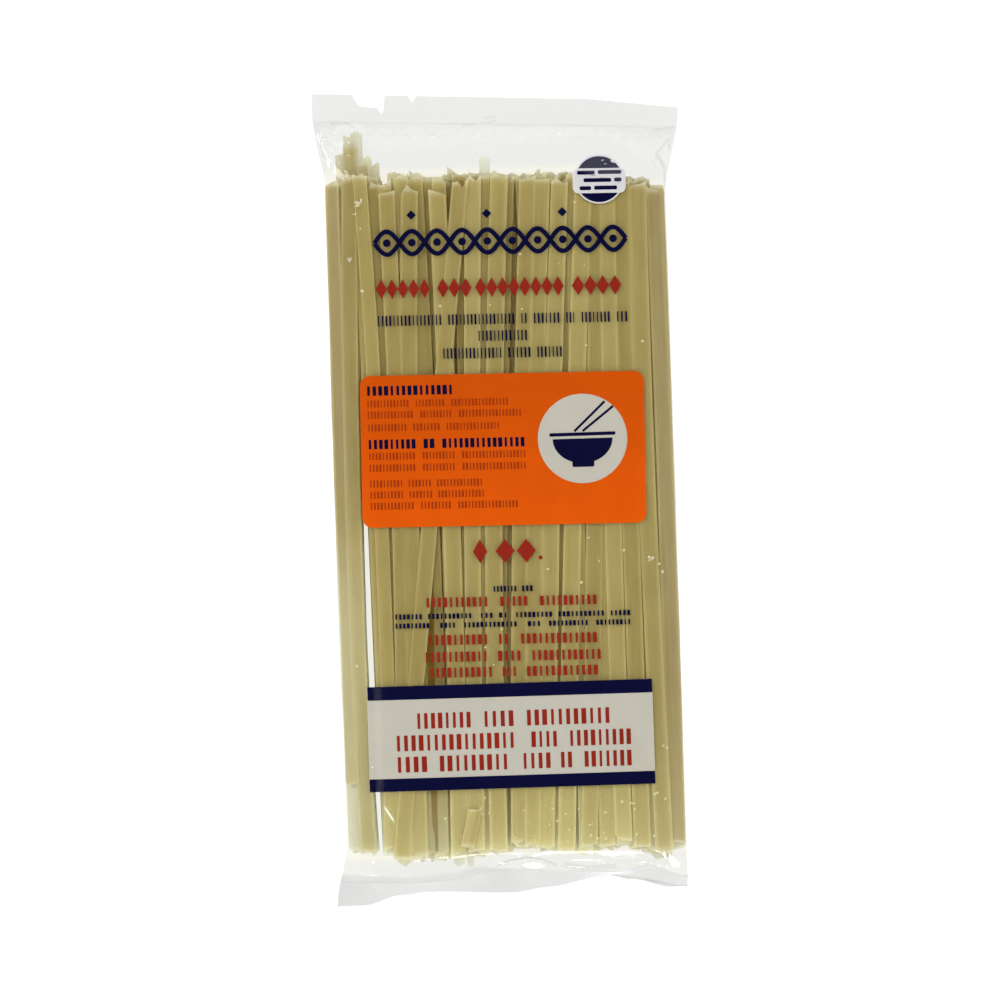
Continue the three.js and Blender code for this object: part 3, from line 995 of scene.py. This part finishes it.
bits = {
    # broken pieces on the top layer: both ends, width, thickness, paleness
    "pieces": [(-19.6, -134.5, -16.2, -120.4, 5.2, 0.5, 0.0),
               (-47.5, -124.2, -51.0, -118.6, 0.9, 0.4, 0.9)],
    # crumbs: half of them near the foot, evenly spread, and the rest all along, most in the middle
    "crumbs": 110,
    "crumbsAtFoot": ((-30, 58), (-136, -116)),      # from and to in x, and in y
    "crumbsAlong": ((10, 30), (-112, 122)),         # middle and spread in x, from and to in y
    "crumbsWithin": 60,     # mm to both sides of the middle
    "crumbSize": (0.3, 0.85),
    "crumbAndGlintLook": (1.2, 0.55),       # tone and paleness
    # tone and paleness; bright, so the crumbs are painted highlights too
    "crumbLift": 0.25,
    "pieceTone": 0.1,
    "piecePaintedFoot": 0.7,       # how far the foot's painted lighter look reaches the broken pieces
    "seed": 21,
}


def topOfSticks(x, y):
    # the upper side of the top layer
    return upperForm(x, y) - sticks["filmGap"] + 0.5 * sticks["thickness"]


def buildPieces():
    # broken pieces lie along the straight line between their two ends
    rng = np.random.default_rng(bits["seed"])
    x0, y0, x1, y1, width, thickness, pale = np.array(bits["pieces"], float).T
    low, high = np.minimum(y0, y1), np.maximum(y0, y1)
    lean = (x1 - x0) / (y1 - y0)
    heights = np.array(sticks["heights"], float)
    places = x0[:, None] + lean[:, None] * (heights - y0[:, None])
    lay = layRow(rng, places, 1, low, high, width=width, thickness=thickness, pale=pale)
    lay["z"] = topOfSticks((x0 + x1) / 2, 0) + 0.55 * thickness
    for key, kept in (("tilt", 0), ("bow", 0), ("tone", 0), ("paintedFootPale", bits["piecePaintedFoot"]),
                      ("paintedFootTone", bits["piecePaintedFoot"])):
        lay[key] = lay[key] * kept
    lay["tone"] = lay["tone"] + bits["pieceTone"]
    makeSticks("broken_pieces", lay, noodleMaterial)


def buildCrumbs():
    # Small lumps on the top layer, bright enough to be painted highlights as well: bodies with six
    # corners and eight faces, each corner at its own distance from the middle, turned by a random
    # angle.
    rng = np.random.default_rng(bits["seed"] + 1)
    count, half = bits["crumbs"], bits["crumbs"] // 2
    (footX, footY), (alongX, alongY) = bits["crumbsAtFoot"], bits["crumbsAlong"]
    x = np.concatenate([rng.uniform(*footX, half), rng.normal(*alongX, count - half)])
    x = np.clip(x, -bits["crumbsWithin"], bits["crumbsWithin"])
    y = np.concatenate([rng.uniform(*footY, half), rng.uniform(*alongY, count - half)])
    z = topOfSticks(x, y) + bits["crumbLift"]
    corners = np.array([(1, 0, 0), (0, 1, 0), (-1, 0, 0), (0, -1, 0), (0, 0, 1), (0, 0, -1)], float)
    sides = np.array([(0, 1, 4), (1, 2, 4), (2, 3, 4), (3, 0, 4),
                      (1, 0, 5), (2, 1, 5), (3, 2, 5), (0, 3, 5)])
    size = rng.uniform(*bits["crumbSize"], (count, 1, 1)) * rng.uniform(0.6, 1.3, (count, 6, 1))
    points = corners * size * np.array([1, 1, 0.5])
    turn = rng.uniform(0, np.pi, (count, 1))
    across, along, up = np.moveaxis(points, -1, 0)
    spun = np.stack([across * np.cos(turn) - along * np.sin(turn),
                     across * np.sin(turn) + along * np.cos(turn), up], -1)
    points = (spun + np.stack([x, y, z], -1)[:, None]).reshape(-1, 3)
    faces = (sides + 6 * np.arange(count)[:, None, None]).reshape(-1, 3)
    tone, pale = bits["crumbAndGlintLook"]
    attributes = {"stickPlace": points.copy(), "stickReach": points * 0 + 9,
                  "tone": np.full(len(points), tone), "pale": np.full(len(points), pale)}
    makePiece("noodle_crumbs", points, faces[:0], noodleMaterial,
              attributes, faces)


buildPieces()
buildCrumbs()
print("loose bits laid")


# The inks lie on the inner side of the upper film, so the film's gloss runs over them.
ink = {
    "depth": 0.22,          # of the first ink below the film
    "step": 0.05,           # each further ink lies this much nearer to the film
    "grain": 1.0,           # size of a patch's cells
    # each ink's name, colour, how much lighter and darker its mottle is, and slot
    "orange": ("orange printed ink", "#e15b09", 0.04, "orange_print"),
    "navy": ("navy printed ink", "#0a0c38", 0.08, "navy_print"),
    "red": ("red printed ink", "#942a1e", 0.06, "red_print"),
    "redBrown": ("red-brown printed ink", "#a33a10", 0.06, "red_print"),
    "white": ("white printed ink", "#c8c6c2", 0.02, "white_print"),
    "badgeWhite": ("bluish white printed ink", "#dfdeea", 0.02, "white_print"),
    "paintedShadings": {"orange": ((-12, 1.06), (40, 0.87))},     # painted shade: y and shade at two heights, darker towards the top
    "mottles": 0.09,        # in a mm, so that one is 11 mm across
    "letThrough": 0.12,
}


def printedInk(name, hexColour, mottle, paintedShading):
    # Printed ink: a flat opaque coat with a slight mottle from the press; the light behind it
    # shows a little where the sticks leave a gap. The optional last argument, where there is one,
    # is painted shade:
    # (height, shade) at two heights of the pack, and the ink is darkened evenly from one to the
    # other.
    material, tree = newMaterial(name)
    place = addNode(tree, "ShaderNodeTexCoord").outputs["Object"]
    cloud = addNode(tree, "ShaderNodeTexNoise", links={
        "Vector": place, "Scale": ink["mottles"] / mm, "Detail": 3})
    shade = addNode(tree, "ShaderNodeMapRange", links={
        0: cloud.outputs["Fac"], 1: 0.3, 2: 0.7, 3: 1 - mottle, 4: 1 + mottle}).outputs[0]
    if paintedShading:
        (lowAt, low), (highAt, high) = paintedShading
        upwards = addNode(tree, "ShaderNodeSeparateXYZ", links={0: place}).outputs[1]
        along = addNode(tree, "ShaderNodeMapRange", links={
            0: upwards, 1: lowAt * mm, 2: highAt * mm, 3: low, 4: high})
        shade = addNode(tree, "ShaderNodeMath", {"operation": "MULTIPLY"}, {
            0: shade, 1: along.outputs[0]}).outputs[0]
    ground = addNode(tree, "ShaderNodeMix", {"data_type": "RGBA", "blend_type": "MULTIPLY"}, {
        0: 1.0, 6: colour(hexColour), 7: shade})
    surface = addNode(tree, "ShaderNodeBsdfPrincipled", links={
        "Base Color": ground.outputs[2], "Roughness": 0.7, "IOR": 1.45,
        "Specular IOR Level": 0.0})
    glow = addNode(tree, "ShaderNodeBsdfTranslucent", links={"Color": ground.outputs[2]})
    whole = addNode(tree, "ShaderNodeMixShader", links={
        0: ink["letThrough"], 1: surface.outputs[0], 2: glow.outputs[0]})
    addNode(tree, "ShaderNodeOutputMaterial", links={"Surface": whole.outputs[0]})
    return material


def roundedPatch(middle, size, radius, lean=0.0):
    # Rows from the lower to the upper side, close together at the corners. Each row runs between
    # the two sides, which are drawn in by the corner's arc. lean turns the patch a little.
    halfWide, halfHigh = size[0] / 2, size[1] / 2
    arc = np.sin(np.linspace(0, np.pi / 2, 5))
    corner = radius * (1 - arc[::-1])
    between = max(int((size[1] - 2 * radius) / ink["grain"]), 1)
    straight = np.linspace(radius, size[1] - radius, between + 1)[1:-1]
    rise = np.concatenate([corner, straight, size[1] - corner[::-1]])
    inset = np.minimum(rise, size[1] - rise)
    drawnIn = radius - np.sqrt(np.maximum(radius ** 2 - np.maximum(radius - inset, 0) ** 2, 0))
    columns = max(int(size[0] / ink["grain"]), 1) + 1
    share = np.linspace(-1, 1, columns)[None]
    x = share * (halfWide - drawnIn)[:, None]
    y = (rise - halfHigh)[:, None] + 0 * x
    turned = np.stack([middle[0] + x * math.cos(lean) - y * math.sin(lean),
                       middle[1] + x * math.sin(lean) + y * math.cos(lean)], -1)
    return turned.reshape(-1, 2), gridFaces(len(rise), columns)


def strokePatch(x, y, width):
    # a pen of the given width carried along a line; its sides stand square to the line
    along = np.stack([np.gradient(x), np.gradient(y)])
    along = along / np.linalg.norm(along, axis=0)
    side = np.linspace(-0.5, 0.5, 4)[:, None] * width
    points = np.stack([x - side * along[1], y + side * along[0]], -1)
    return points.reshape(-1, 2), gridFaces(4, len(x))[:, ::-1]


def discPatch(middle, outer, turns):
    # points round a circle, on rings from next to its middle out to its edge
    angle = np.linspace(0, 2 * np.pi, turns, endpoint=False)[None]
    rings = max(int(outer / ink["grain"]), 1) + 1
    radius = np.linspace(0.01, outer, rings)[:, None]
    points = np.stack([middle[0] + radius * np.cos(angle), middle[1] + radius * np.sin(angle)], -1)
    return points.reshape(-1, 2), gridFaces(rings, turns, closedRows=True)[:, ::-1]


def lozengePatch(middle, size):
    # rows whose half width falls evenly from the middle to nothing at both tips
    rise = np.linspace(-1, 1, 9)[:, None]
    across = np.linspace(-1, 1, 5)[None]
    x = middle[0] + 0.5 * size[0] * across * (1.02 - np.abs(rise))
    y = middle[1] + 0.5 * size[1] * rise + 0 * x
    return np.stack([x, y], -1).reshape(-1, 2), gridFaces(9, 5)


def makeInk(name, patches, inkName, level):
    # all patches of one ink on one level, draped under the film
    points, faces, start = [], [], 0
    for patchPoints, patchFaces in patches:
        points.append(patchPoints)
        faces.append(patchFaces + start)
        start += len(patchPoints)
    flat, faces = np.concatenate(points), np.concatenate(faces)
    z = filmTop(flat[:, 0], flat[:, 1]) - ink["depth"] + level * ink["step"]
    makePiece(name, np.column_stack([flat, z]), faces, inkMaterials[inkName])


def blockRow(left, right, y, height, groups, pitch, filled, lean):
    # Evenly spaced blocks along a leaning line, in groups: each group has its start and end as
    # shares of the line. The blocks' widths go round a few shares of their space.
    patches = []
    for start, end in groups:
        groupLeft, groupRight = blendTo(left, right, start), blendTo(left, right, end)
        count = max(round((groupRight - groupLeft) / pitch), 1)
        step = (groupRight - groupLeft) / count
        for number in range(count):
            x = groupLeft + (number + 0.5) * step
            shares = front["blockWidths"]
            width = step * filled * shares[(number + len(patches)) % len(shares)]
            patches.append(roundedPatch((x, y + lean * x), (width, height),
                                        min(height, width) * front["blockCorner"]))
    return patches


inkMaterials = {
    inkName: printedInk(*ink[inkName][:3], ink["paintedShadings"].get(inkName))
    for inkName in ("orange", "navy", "red", "redBrown", "white", "badgeWhite")}


# How the front is laid out. A patch is its middle, its size, the radius of its corners and its
# lean; the print runs down a little to the right.
front = {
    "lean": -0.0125,
    "orangePanel": ((-1.05, 17.4), (109.3, 58.4), 3.8, -0.0125),
    "lowPanel": ((-1.6, -92.7), (109.9, 40.2), 0.6, 0.001),
    "lowBands": [((-1.5, -75.1), (109.6, 5.2), 0.3, -0.002),
                 ((-1.6, -110.4), (109.9, 4.9), 0.3, -0.001)],
    # two waves that cross, a dot in each eye (first x, pitch, count) and diamonds above
    "waves": {"left": -48, "right": 48.7, "y": 97.6, "lean": -0.0105, "height": 4.4,
              "length": 19.34, "pen": 1.75, "dots": (-43.2, 9.67, 10), "dotRadius": 1.5,
              "diamonds": (-33.5, -4.5, 24.6), "diamondsUp": 10.6, "diamondSize": 2.6},
    # red lozenges: y, the width and height of one, and both ends of each group of them
    "lozenges": (79.8, 4.4, 7.4, [(-48, -27.2), (-24.4, -11.2), (-9.8, 24.2), (27.4, 46.4)]),
    "largeLozenges": (-21.7, 9.0, [(-11.2, 5.4), (-1.6, 7.2), (6.6, 7.2)]),     # x and width
    "redDot": ((12.0, -24.6), 0.8),
    # rows of small blocks, by kind: pitch, the share of it that the widest block fills, lean
    "blockKinds": {"narrow": (1.45, 0.52, -0.0125), "bold": (2.2, 0.72, -0.0125),
                   "tiny": (1.4, 0.7, -0.0125), "low": (1.6, 0.72, -0.0125),
                   "red": (2.3, 0.66, -0.0125), "large": (2.9, 0.62, 0),
                   "faint": (1.3, 0.6, -0.0125)},
    "blockWidths": (0.62, 1.0, 0.78, 0.55, 0.9),
    "blockCorner": 0.12,        # as a share of the shorter side
    # kind, left, right, y, height, and the groups' starts and ends as shares of the row
    "navyRows": [
        ("narrow", -48, 48.7, 67.6, 4.0, [(0, .26), (.28, .55), (.57, .6), (.62, .73),
                                          (.75, .79), (.81, .93), (.95, 1)]),
        ("narrow", -9.6, 9.9, 61.2, 4.0, [(0, 1)]),
        ("narrow", -23.3, 23.1, 54.6, 4.0, [(0, .5), (.54, .74), (.78, 1)]),
        ("bold", -53.2, -19.4, 40.8, 3.6, [(0, 1)]),
        ("bold", -53.2, 7.6, 20.2, 3.6, [(0, .31), (.35, .43), (.47, 1)]),
        ("tiny", -6.8, 8.8, -36.2, 2.2, [(0, .6), (.7, 1)]),
        ("low", -45, 46, -46.3, 2.0, [(0, .12), (.14, .33), (.36, .42), (.44, .48), (.51, .67),
                                      (.69, .89), (.91, 1)]),
        ("low", -45, 46, -49.8, 2.0, [(0, .15), (.19, .26), (.29, .52), (.56, .62), (.65, .82),
                                      (.85, 1)])],
    "redRows": [
        ("red", -33, 33.4, -41.0, 3.7, [(0, .37), (.43, .6), (.66, 1)]),
        ("red", -32.4, 33, -55.5, 3.9, [(0, .36), (.41, .48), (.54, 1)]),
        ("red", -34, 34.4, -62.0, 3.9, [(0, .36), (.41, .55), (.6, 1)]),
        ("red", -32.4, 33, -68.0, 3.8, [(0, .38), (.43, .52), (.57, 1)]),
        ("large", -38.2, 37.2, -86.0, 6.0, [(0, .29), (.34, .51), (.56, 1)]),
        ("large", -46.4, 45.0, -94.4, 6.0, [(0, .51), (.57, .69), (.73, 1)]),
        ("large", -46.4, 45.0, -102.6, 6.0, [(0, .14), (.18, .48), (.53, .66), (.69, .75),
                                             (.79, 1)])],
    # faint rows on the orange panel: left, right, height, then y and how much of it is used
    "faintRow": (-53.0, 7.8, 2.7),
    "faintRows": [(35.8, .9), (31.5, .98), (26.6, .84), (15.6, 1), (11.1, 1), (5.0, .72),
                  (0.7, .73), (-3.6, .94)],
    # a white disc with a bowl, its foot and its rim, and two chopsticks: ends in x, ends in y
    "disc": ((29.6, 20.6), 17.2),
    "bowl": (11.5, 9.5),                # half width and depth
    "bowlFoot": ((29.6, 10.8), (8.4, 2.2), 0.5, 0),
    "bowlRim": ((29.6, 22.3), (25.4, 1.3), 0.5, 0),
    "chopsticks": [((26.5, 38.5), (23.4, 34.6)), ((29.7, 41.7), (23.4, 32.68))],
    "chopstickWidth": 0.9,
    # badge: middle, radii of the white edge and the navy disc, then the white band (up from
    # the middle, size, corners) and the dashes on it (up, left end, right end)
    "badge": (39.2, 120.1),
    "badgeRadii": (9.5, 8.9),
    "badgeBand": (-0.6, (20.4, 9.6), 2.2),
    "badgeDashes": [(2.6, -8.4, -1.6), (2.6, -0.4, 8.6), (-0.4, -6.0, 4.6), (-0.4, 5.8, 8.6),
                    (-3.4, -7.6, -3.2), (-3.4, -2.0, 6.8)],
    "dashHeight": 1.5,
    "smallCorner": 0.5,
}


def wavePatches():
    # two sine waves of opposite sign along a slightly leaning line, then dots and diamonds
    waves = front["waves"]
    x = np.linspace(waves["left"], waves["right"], 300)
    patches = []
    for sign in (1, -1):
        swing = sign * waves["height"] * np.sin(2 * np.pi * (x - waves["left"]) / waves["length"])
        patches.append(strokePatch(x, waves["y"] + waves["lean"] * x + swing, waves["pen"]))
    first, pitch, count = waves["dots"]
    for x in [first + pitch * number for number in range(count)]:
        patches.append(discPatch((x, waves["y"] + waves["lean"] * x), waves["dotRadius"], 16))
    for x in waves["diamonds"]:
        middle = (x, waves["y"] + waves["diamondsUp"] + waves["lean"] * x)
        patches.append(roundedPatch(middle, (waves["diamondSize"],) * 2, 0.3, math.pi / 4))
    return patches


def rowPatches(rows):
    # the blocks of several rows
    patches = []
    for kind, left, right, y, height, groups in rows:
        patches += blockRow(left, right, y, height, groups, *front["blockKinds"][kind])
    return patches


def lozengePatches():
    # evenly spaced in each group, as near to their pitch as fits, then the large ones
    y, pitch, height, groups = front["lozenges"]
    patches = []
    for left, right in groups:
        count = round((right - left) / pitch)
        step = (right - left) / count
        for number in range(count):
            x = left + (number + 0.5) * step
            patches.append(lozengePatch((x, y + front["lean"] * x), (step * 0.98, height)))
    y, height, places = front["largeLozenges"]
    for x, width in places:
        patches.append(lozengePatch((x, y + front["lean"] * x), (width, height)))
    return patches + [discPatch(*front["redDot"], 12)]


def faintPatches():
    # each row in three groups, drawn out to how much of it is used
    left, right, height = front["faintRow"]
    rows = []
    for y, used in front["faintRows"]:
        groups = [(0, used * .3), (used * .34, used * .55), (used * .59, used)]
        rows.append(("faint", left, right, y, height, groups))
    return rowPatches(rows)


def bowlPatches():
    # the bowl: half ellipses from the middle of its rim outwards
    middle = front["disc"][0]
    halfWidth, depth = front["bowl"]
    turn = np.linspace(np.pi, 2 * np.pi, 40)
    out = np.linspace(0.02, 1, 12)[:, None]
    bowl = np.stack([middle[0] + halfWidth * out * np.cos(turn),
                     middle[1] + depth * out * np.sin(turn)], -1)
    patches = [(bowl.reshape(-1, 2), gridFaces(12, 40)[:, ::-1]),
               roundedPatch(*front["bowlFoot"]), roundedPatch(*front["bowlRim"])]
    for xEnds, yEnds in front["chopsticks"]:
        patches.append(strokePatch(np.linspace(*xEnds, 20), np.linspace(*yEnds, 20),
                                   front["chopstickWidth"]))
    return patches


def buildPrint():
    # each piece: its name, patches and ink, and how many inks lie under it
    x, y = front["badge"]
    outer, inner = front["badgeRadii"]
    bandUp, bandSize, bandRadius = front["badgeBand"]
    dashes = [roundedPatch((x + (start + end) / 2, y + up), (end - start, front["dashHeight"]),
                           front["smallCorner"], front["lean"])
              for up, start, end in front["badgeDashes"]]
    pieces = [
        ("orange_panel", [roundedPatch(*front["orangePanel"])], "orange", 0),
        ("weight_panel", [roundedPatch(*front["lowPanel"])], "white", 0),
        ("weight_bands", [roundedPatch(*band) for band in front["lowBands"]], "navy", 1),
        ("navy_lines", wavePatches() + rowPatches(front["navyRows"]), "navy", 1),
        ("red_lines", lozengePatches() + rowPatches(front["redRows"]), "red", 1),
        ("small_lines", faintPatches(), "redBrown", 1),
        ("picture_disc", [discPatch(*front["disc"], 72)], "white", 1),
        ("picture_bowl", bowlPatches(), "navy", 2),
        ("badge_edge", [discPatch((x, y), outer, 60)], "badgeWhite", 0),
        ("badge_disc", [discPatch((x, y), inner, 60)], "navy", 1),
        ("badge_band", [roundedPatch((x, y + bandUp), bandSize, bandRadius, front["lean"])],
         "badgeWhite", 2),
        ("badge_dashes", dashes, "navy", 3),
    ]
    for name, patches, inkName, level in pieces:
        makeInk(name, patches, inkName, level)


buildPrint()
print("print laid")


studio = {
    "floorSize": 6.0,               # metres
    "floorGlow": 1.02,
    "floorWhite": 0.06,
    "floorDrop": 0.4,               # mm under the pack
    "ringLight": 1.6,
    "zenithLight": 0.05,
    "ringEdge": (0.72, 0.95),       # height on the sky, from 0 to 1, over which the ring ends
    # name, place and size in metres, power in watts; each lamp faces the middle of the pack
    "lamps": [("key", (-1.1, 0.9, 1.6), 0.6, 8), ("foot", (0.15, -1.95, 0.5), 0.56, 12)],
    "pixelSize": 0.385,             # mm of the pack in one pixel of the photograph
    "pixels": 1000,                 # along each side of it
    "sensor": 36,                   # mm
    "cameraHeight": 4.0,            # metres
    "roll": -1.86,                  # degrees; the pack leans to the left in the photograph
    "aim": (-2.88, -2.03, 12),      # mm on the pack at the middle of the photograph
}


def buildStudio():
    # White paper sweep, lit so brightly that it is plain white and throws light up through the
    # sticks.
    floorMesh = bpy.data.meshes.new("floor")
    half = studio["floorSize"] / 2
    corners = [(-half, -half, 0), (half, -half, 0), (half, half, 0), (-half, half, 0)]
    floorMesh.from_pydata(corners, [], [(0, 1, 2, 3)])
    floor = bpy.data.objects.new("floor", floorMesh)
    bpy.context.scene.collection.objects.link(floor)
    material, tree = newMaterial("white sweep")
    surface = addNode(tree, "ShaderNodeBsdfPrincipled", links={
        "Base Color": (studio["floorWhite"],) * 3 + (1,), "Roughness": 0.8,
        "Specular IOR Level": 0.0,
        "Emission Color": (1, 1, 1, 1), "Emission Strength": studio["floorGlow"]})
    addNode(tree, "ShaderNodeOutputMaterial", links={"Surface": surface.outputs[0]})
    floorMesh.materials.append(material)
    material.cycles.emission_sampling = "NONE"
    floor.location.z = -studio["floorDrop"] * mm

    world = bpy.data.worlds.new("studio")
    bpy.context.scene.world = world
    world.use_nodes = True
    # a wide ring of soft light, dark straight above, so that flat film mirrors no light
    tree = world.node_tree
    tree.nodes["Background"].inputs["Color"].default_value = (1, 1, 1, 1)
    upwards = addNode(tree, "ShaderNodeSeparateXYZ", links={
        0: addNode(tree, "ShaderNodeTexCoord").outputs["Generated"]}).outputs[2]
    start, end = studio["ringEdge"]
    ring = addNode(tree, "ShaderNodeMapRange", {"interpolation_type": "SMOOTHSTEP"}, {
        0: upwards, 1: start, 2: end, 3: studio["ringLight"], 4: studio["zenithLight"]})
    tree.links.new(ring.outputs[0], tree.nodes["Background"].inputs[1])

    for name, place, size, power in studio["lamps"]:
        light = bpy.data.lights.new(name, "AREA")
        light.shape = "DISK"
        light.size = size
        light.energy = power
        lamp = bpy.data.objects.new(name, light)
        lamp.location = place
        across, up = math.hypot(place[0], place[1]), place[2]
        heading = math.atan2(place[1], place[0]) + math.pi / 2
        lamp.rotation_euler = (math.atan2(across, up), 0, heading)
        bpy.context.scene.collection.objects.link(lamp)

    camera = bpy.data.objects.new("camera", bpy.data.cameras.new("camera"))
    x, y, z = (value * mm for value in studio["aim"])
    camera.location = (x, y, z + studio["cameraHeight"])
    camera.rotation_euler = (0, 0, math.radians(studio["roll"]))
    camera.data.sensor_width = studio["sensor"]
    seen = studio["pixels"] * studio["pixelSize"] * mm      # the width seen at the aim's height
    camera.data.lens = studio["sensor"] * studio["cameraHeight"] / seen
    camera.data.clip_end = 30
    bpy.context.scene.collection.objects.link(camera)
    bpy.context.scene.camera = camera
    bpy.context.scene.view_settings.view_transform = "Standard"


buildStudio()
